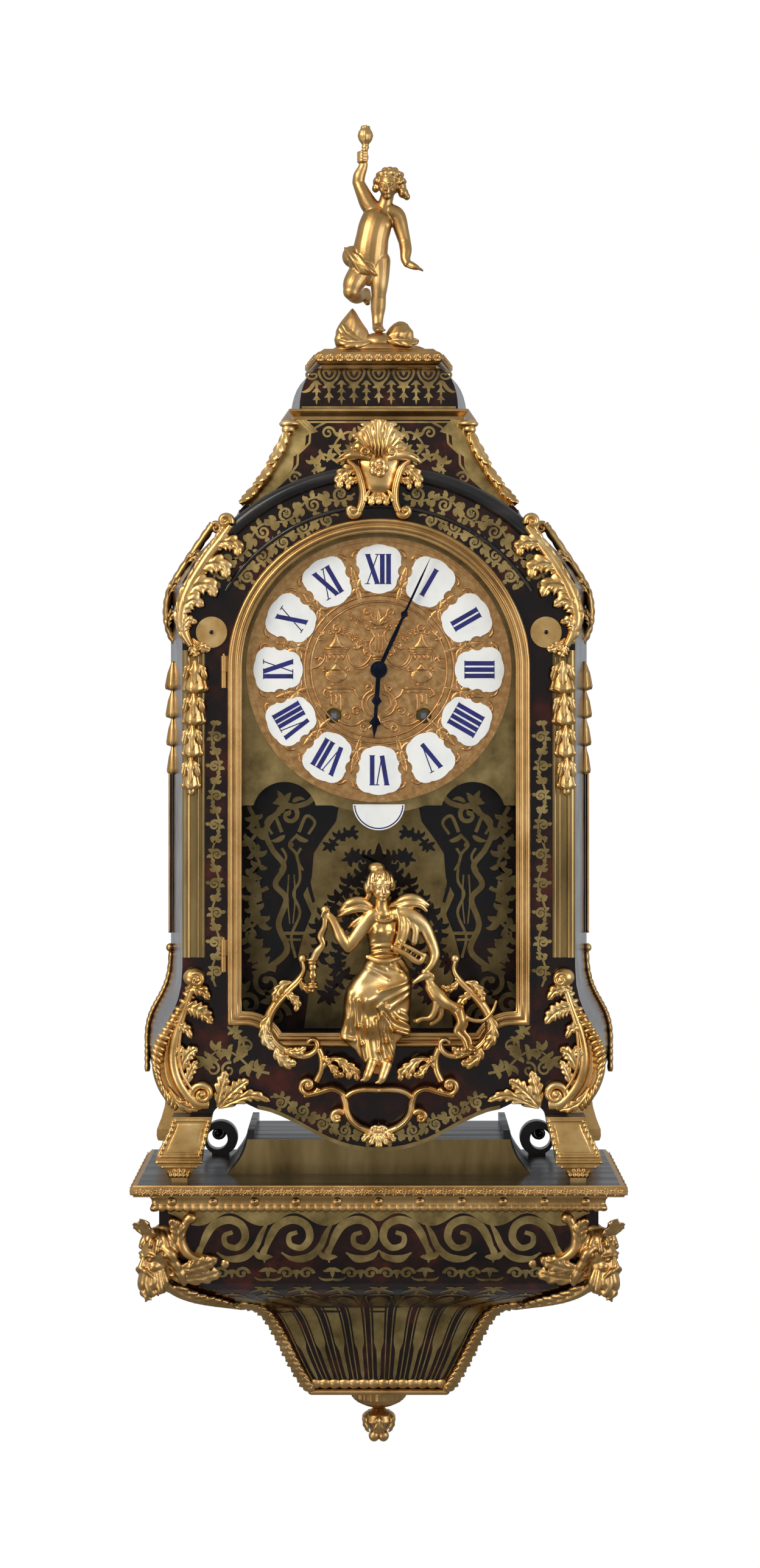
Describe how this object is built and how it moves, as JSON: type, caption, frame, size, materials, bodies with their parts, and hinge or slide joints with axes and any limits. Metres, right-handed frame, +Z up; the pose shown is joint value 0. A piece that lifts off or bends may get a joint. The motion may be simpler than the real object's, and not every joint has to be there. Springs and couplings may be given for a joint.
{
  "type": "cartel clock",
  "caption": "Veneered bracket clock with arched glazed door, gilt mounts and crowning figure, standing on a matching wall console.",
  "frame": {"origin": "on the wall face, midway between the two wall screws, 60 mm below the top of the shelf", "axes": "+X to the viewer's right seen from the front, +Y into the wall, +Z up; the dial faces -Y"},
  "size_m": [0.437, 0.1975, 1.223],
  "materials": {
    "gilt_bronze": "chased and burnished",
    "sheet_brass": "brushed",
    "boulle_veneer": "polished",
    "ebonised_wood": "polished",
    "oak": "plain",
    "glass": "clear",
    "cast_dial": "cast and gilt",
    "enamel": "glossy",
    "blued_steel": "blued",
    "steel": "plain",
    "movement_brass": "plain",
    "bell_metal": "turned"
  },
  "bodies": {
    "console": {"console_shelf": "ebonised_wood", "shelf_edge": "gilt_bronze", "console_frieze": "gilt_bronze", "console_body": "boulle_veneer", "wall_board": "oak", "console_masks": "gilt_bronze", "console_borders": "gilt_bronze", "pendant": "gilt_bronze", "clock_stand": "ebonised_wood", "stand_front": "sheet_brass", "shelf_scrolls": "ebonised_wood"},
    "clock_case": {"case_front": "boulle_veneer", "case_carcass": "boulle_veneer", "case_back": "boulle_veneer", "case_floor": "oak", "arch_moulding": "ebonised_wood", "apron_strip": "sheet_brass", "corner_strips": "sheet_brass", "shoulder_mounts": "gilt_bronze", "rear_mounts": "gilt_bronze", "shoulder_discs": "gilt_bronze", "husk_drops": "gilt_bronze", "knee_mounts": "gilt_bronze", "front_feet": "gilt_bronze", "rear_feet": "gilt_bronze", "apron_leaves": "gilt_bronze", "crest_mount": "gilt_bronze", "roof_bell": "boulle_veneer", "roof_leaves": "gilt_bronze", "waist_moulding": "gilt_bronze", "roof_dome": "boulle_veneer", "roof_cap": "gilt_bronze", "putto_mound": "gilt_bronze", "putto": "gilt_bronze", "hinge_pins": "movement_brass", "dial_mask": "sheet_brass", "dial_plate": "cast_dial", "hour_plaques": "enamel", "name_plaque": "enamel", "movement_plates": "movement_brass", "plate_pillars": "movement_brass", "bell": "bell_metal"},
    "front_door": {"door_frame": "gilt_bronze", "door_glass": "glass", "door_scrolls": "gilt_bronze", "seated_figure": "gilt_bronze", "hound": "gilt_bronze", "door_knuckles": "movement_brass"},
    "minute_train": {"minute_hand": "blued_steel"},
    "hour_train": {"hour_hand": "blued_steel"},
    "minute_wheel_unit": {"minute_wheel": "movement_brass"},
    "going_barrel_unit": {"going_barrel": "movement_brass"},
    "strike_barrel_unit": {"strike_barrel": "movement_brass"},
    "going_arbor": {"winding_arbor_going": "steel"},
    "strike_arbor": {"winding_arbor_strike": "steel"},
    "third_arbor": {"third_wheel": "movement_brass"},
    "escape_arbor": {"escape_wheel": "movement_brass"},
    "pin_arbor": {"pin_wheel": "movement_brass"},
    "pendulum_unit": {"pendulum": "movement_brass"},
    "hammer_unit": {"hammer": "steel"}
  },
  "joints": [
    {"name": "clock_lift", "type": "slide", "parent": "console", "child": "clock_case", "axis": [0, 0, 1], "range_m": [0, 0.12]},
    {"name": "door_swing", "type": "hinge", "parent": "clock_case", "child": "front_door", "pos_m": [-0.1371, -0.1654, 0.36], "axis": [0, 0, -1], "range_deg": [0, 100]},
    {"name": "minute_turn", "type": "hinge", "parent": "clock_case", "child": "minute_train", "pos_m": [0, -0.15, 0.513], "axis": [0, 1, 0], "continuous": true},
    {"name": "hour_turn", "type": "hinge", "parent": "clock_case", "child": "hour_train", "pos_m": [0, -0.15, 0.513], "axis": [0, 1, 0], "continuous": true},
    {"name": "minute_wheel_turn", "type": "hinge", "parent": "clock_case", "child": "minute_wheel_unit", "pos_m": [0, -0.138, 0.539], "axis": [0, 1, 0], "continuous": true},
    {"name": "going_barrel_turn", "type": "hinge", "parent": "clock_case", "child": "going_barrel_unit", "pos_m": [0.04, -0.11, 0.472], "axis": [0, 1, 0], "continuous": true},
    {"name": "third_turn", "type": "hinge", "parent": "clock_case", "child": "third_arbor", "pos_m": [-0.02, -0.11, 0.5417], "axis": [0, 1, 0], "continuous": true},
    {"name": "escape_turn", "type": "hinge", "parent": "clock_case", "child": "escape_arbor", "pos_m": [0, -0.11, 0.5601], "axis": [0, 1, 0], "continuous": true},
    {"name": "strike_barrel_turn", "type": "hinge", "parent": "clock_case", "child": "strike_barrel_unit", "pos_m": [-0.04, -0.11, 0.472], "axis": [0, 1, 0], "continuous": true},
    {"name": "pin_wheel_turn", "type": "hinge", "parent": "clock_case", "child": "pin_arbor", "pos_m": [-0.06201, -0.11, 0.52488], "axis": [0, 1, 0], "continuous": true},
    {"name": "going_wind", "type": "hinge", "parent": "clock_case", "child": "going_arbor", "pos_m": [0.04, -0.11, 0.472], "axis": [0, 1, 0], "range_deg": [0, 1440]},
    {"name": "strike_wind", "type": "hinge", "parent": "clock_case", "child": "strike_arbor", "pos_m": [-0.04, -0.11, 0.472], "axis": [0, 1, 0], "range_deg": [0, 1440]},
    {"name": "pendulum_swing", "type": "hinge", "parent": "clock_case", "child": "pendulum_unit", "pos_m": [0, -0.09, 0.589], "axis": [0, 1, 0], "range_deg": [-5, 5]},
    {"name": "hammer_lift", "type": "hinge", "parent": "clock_case", "child": "hammer_unit", "pos_m": [-0.066, -0.105, 0.573], "axis": [0, -1, 0], "range_deg": [0, 14]}
  ],
  "couplings": [
    {"joint": "hour_turn", "follows": "minute_turn", "ratio": 0.083333},
    {"joint": "minute_wheel_turn", "follows": "minute_turn", "ratio": -1},
    {"joint": "going_barrel_turn", "follows": "minute_turn", "ratio": -0.16667},
    {"joint": "third_turn", "follows": "minute_turn", "ratio": -6},
    {"joint": "escape_turn", "follows": "minute_turn", "ratio": 45},
    {"joint": "pin_wheel_turn", "follows": "strike_barrel_turn", "ratio": -6}
  ]
}
